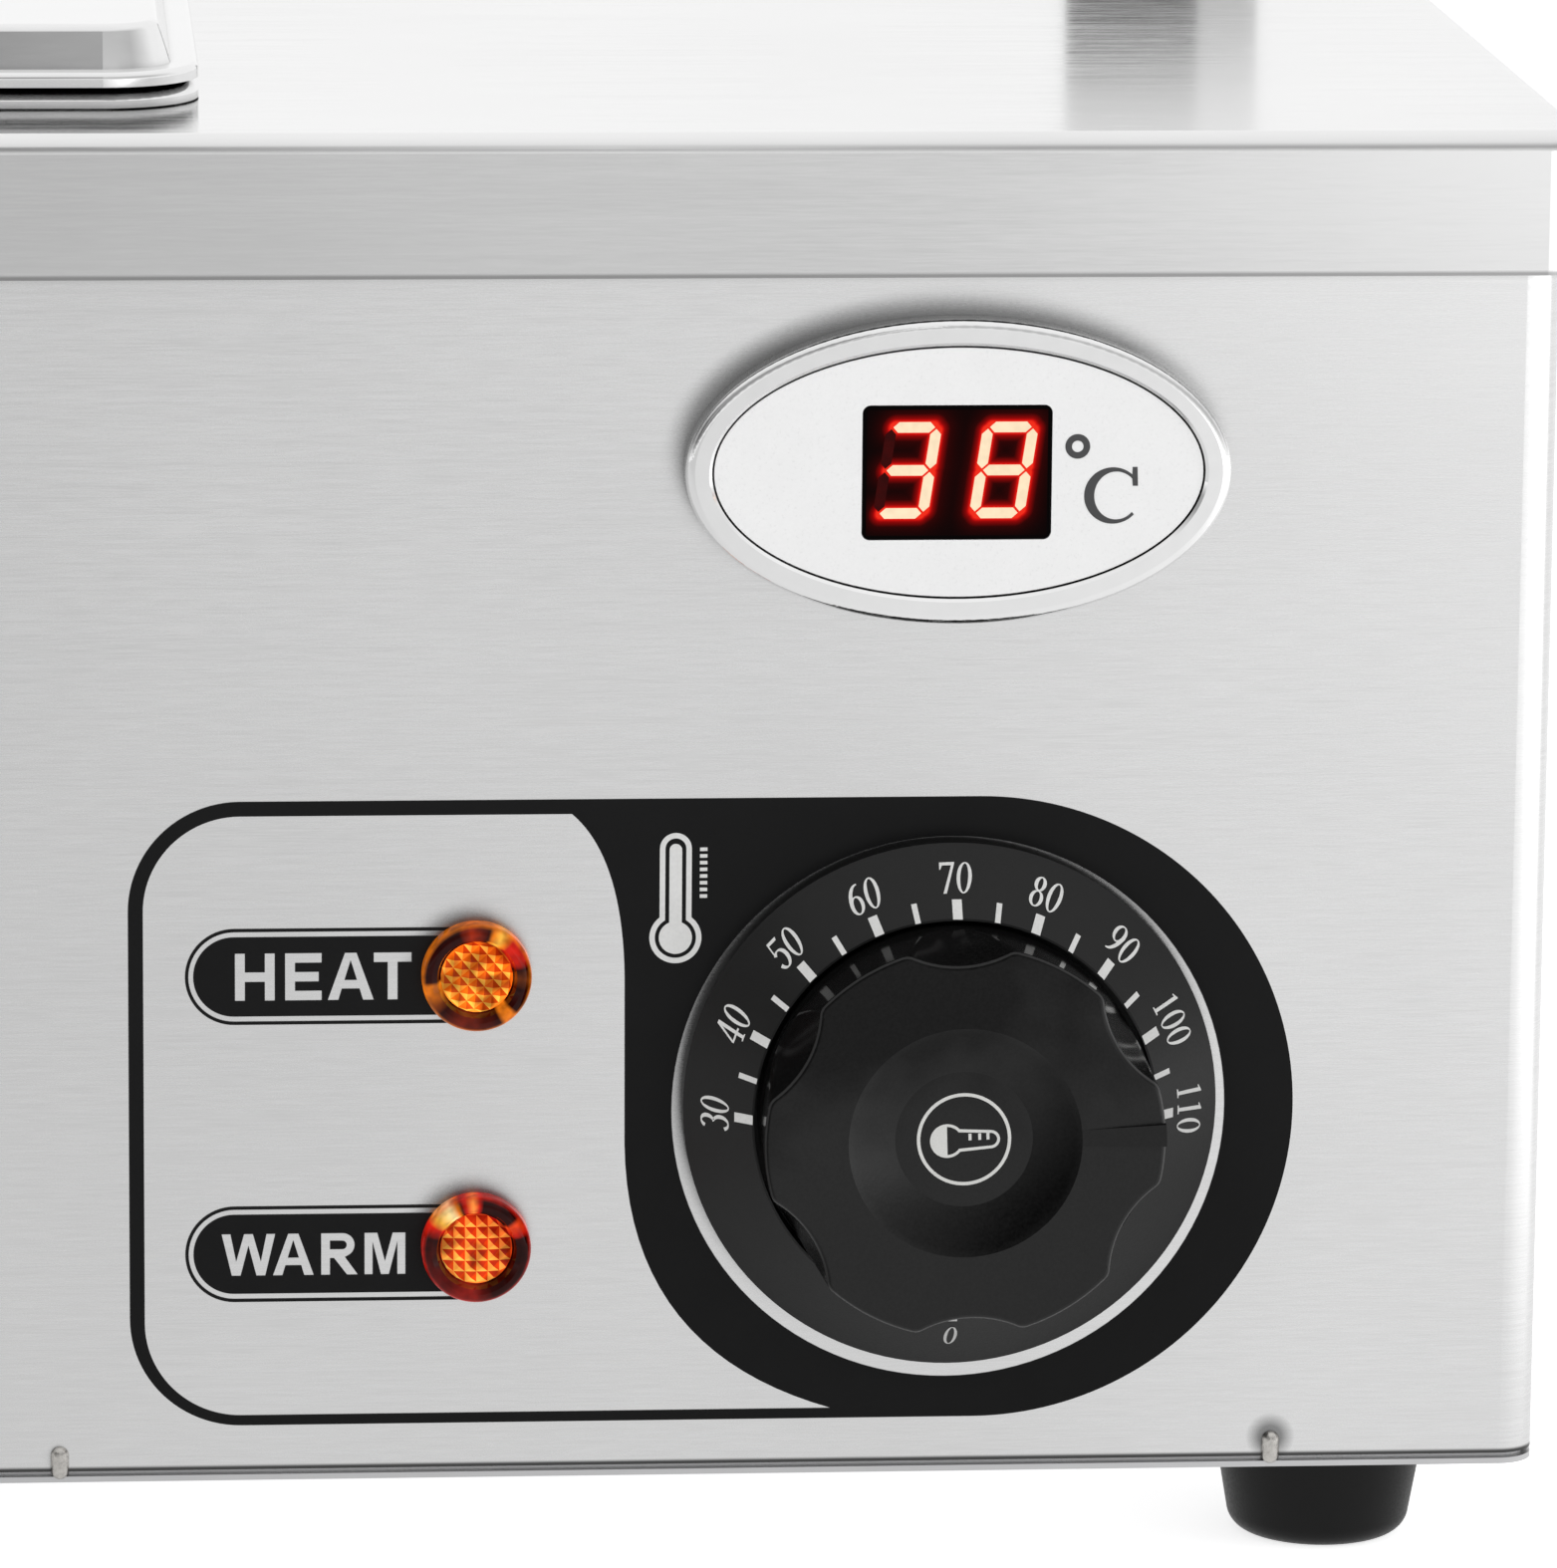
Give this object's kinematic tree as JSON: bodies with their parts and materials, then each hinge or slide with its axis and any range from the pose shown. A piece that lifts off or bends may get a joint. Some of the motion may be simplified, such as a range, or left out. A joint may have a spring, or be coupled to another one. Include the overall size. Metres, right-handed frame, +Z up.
{
  "type": "countertop bain-marie",
  "caption": "Countertop bain-marie: steel cabinet with lidded food pans over a heated water well, temperature dial, digital thermometer, pilot lamps and a drain valve.",
  "frame": {"origin": "on the resting plane, under the middle of the whole appliance's box, from the drain outlet to the deck's right end and from the knob's face to the cable gland's cap", "axes": "+Z up, +X along the length to the control end (the viewer's right), -Y towards the front panel with the knob"},
  "size_m": [0.7898, 0.4154, 0.2382],
  "materials": {
    "brushed_panel": "fine brushed grain along the length",
    "sheet_steel": "dull mill finish",
    "well_steel": "satin drawn finish",
    "polished_steel": "polished",
    "black_rubber": "matt moulded",
    "zinc_plate": "bright zinc plate",
    "element_sheath": "dark annealed sheath",
    "brass_fitting": "turned brass",
    "gasket_rubber": "red silicone",
    "switch_housing": "moulded thermoset",
    "spindle_steel": "turned steel",
    "copper_capillary": "drawn copper",
    "dial_black": "satin moulded plastic",
    "knob_black": "matt moulded plastic",
    "amber_lens": "clear moulded lens, lit",
    "red_lens": "clear moulded lens, lit",
    "nylon_nut": "moulded nylon",
    "bezel_chrome": "polished plating",
    "face_silver": "satin light print",
    "display_filter": "dark red filter, lit digits",
    "module_black": "moulded housing",
    "lead_white": "silicone sleeve",
    "block_white": "plain ceramic",
    "gland_black": "moulded nylon",
    "drain_pipe": "satin tube",
    "nickel_brass": "nickel plated brass",
    "lever_red": "dipped plastic coat"
  },
  "bodies": {
    "cabinet": {"deck": "brushed_panel", "water_well": "well_steel", "body_shell": "brushed_panel", "back_panel": "brushed_panel", "base_plate": "sheet_steel", "base_tack_welds": "sheet_steel", "heat_shield": "sheet_steel", "foot_screws": "zinc_plate", "foot_nuts": "zinc_plate", "heating_element": "element_sheath", "element_fittings": "brass_fitting", "element_gaskets": "gasket_rubber", "element_nuts": "zinc_plate", "element_terminals": "brass_fitting", "element_clips": "well_steel", "thermostat_body": "switch_housing", "thermostat_screws": "zinc_plate", "capillary_tube": "copper_capillary", "thermostat_bulb": "copper_capillary", "bulb_clips": "sheet_steel", "overheat_cutout": "switch_housing", "dial_plate": "dial_black", "heat_lamp_lens": "amber_lens", "heat_lamp_body": "switch_housing", "warm_lamp_lens": "red_lens", "warm_lamp_body": "switch_housing", "lamp_nuts": "nylon_nut", "display_bezel": "bezel_chrome", "display_face": "face_silver", "display_window": "display_filter", "display_module": "module_black", "temperature_probe": "well_steel", "probe_lead": "lead_white", "terminal_block": "block_white", "earth_stud": "zinc_plate", "cable_gland": "gland_black", "gland_cap": "gland_black", "gland_nut": "nylon_nut", "drain_elbow": "drain_pipe", "drain_valve_body": "nickel_brass", "foot_front_left": "black_rubber", "foot_front_right": "black_rubber", "foot_back_left": "black_rubber", "foot_back_right": "black_rubber"},
    "knob": {"knob": "knob_black", "thermostat_spindle": "spindle_steel"},
    "drain_lever": {"drain_lever": "lever_red", "lever_nut": "zinc_plate", "drain_valve_ball": "nickel_brass"},
    "pan_left": {"pan_left": "polished_steel"},
    "lid_left": {"lid_left": "polished_steel", "handle_left": "polished_steel"},
    "pan_centre": {"pan_centre": "polished_steel"},
    "lid_centre": {"lid_centre": "polished_steel", "handle_centre": "polished_steel"},
    "pan_right": {"pan_right": "polished_steel"},
    "lid_right": {"lid_right": "polished_steel", "handle_right": "polished_steel"}
  },
  "joints": [
    {"name": "knob_turn", "type": "hinge", "parent": "cabinet", "child": "knob", "pos_m": [0.31002, -0.18615, 0.0696], "axis": [0, 1, 0], "range_deg": [-268, 2]},
    {"name": "drain_lever_turn", "type": "hinge", "parent": "cabinet", "child": "drain_lever", "pos_m": [-0.36588, -0.0926, 0.0576], "axis": [0, 0, -1], "range_deg": [0, 90]},
    {"name": "pan_left_lift", "type": "slide", "parent": "cabinet", "child": "pan_left", "axis": [0, 0, 1], "range_m": [0, 0.12]},
    {"name": "pan_centre_lift", "type": "slide", "parent": "cabinet", "child": "pan_centre", "axis": [0, 0, 1], "range_m": [0, 0.12]},
    {"name": "pan_right_lift", "type": "slide", "parent": "cabinet", "child": "pan_right", "axis": [0, 0, 1], "range_m": [0, 0.12]},
    {"name": "lid_left_lift", "type": "slide", "parent": "pan_left", "child": "lid_left", "axis": [0, 0, 1], "range_m": [0, 0.06]},
    {"name": "lid_centre_lift", "type": "slide", "parent": "pan_centre", "child": "lid_centre", "axis": [0, 0, 1], "range_m": [0, 0.06]},
    {"name": "lid_right_lift", "type": "slide", "parent": "pan_right", "child": "lid_right", "axis": [0, 0, 1], "range_m": [0, 0.06]}
  ]
}
